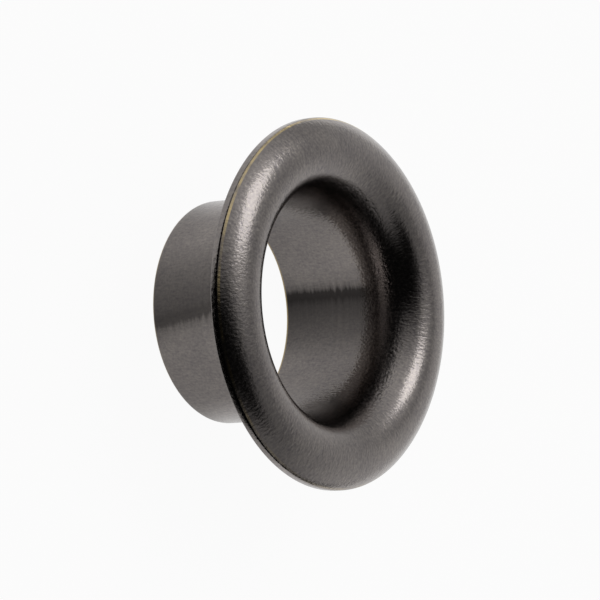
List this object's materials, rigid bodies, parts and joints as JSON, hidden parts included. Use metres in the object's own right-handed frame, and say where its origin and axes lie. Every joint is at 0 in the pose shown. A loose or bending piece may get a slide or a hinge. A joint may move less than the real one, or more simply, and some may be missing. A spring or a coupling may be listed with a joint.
{
  "type": "air vent grommet",
  "caption": "Round metal eyelet: a straight open barrel that flares through a curved throat into a domed, rolled flange with a trimmed rim, hollow underneath.",
  "frame": {"origin": "centre of the barrel's open end, in the plane that the grommet stands on", "axes": "+Z along the hole's axis, from the barrel's open end towards the crown of the flange; round about Z"},
  "size_m": [0.014, 0.014, 0.006],
  "materials": {
    "plated_sheet": "satin gunmetal plating"
  },
  "bodies": {
    "root": {"grommet": "plated_sheet"}
  },
  "joints": []
}
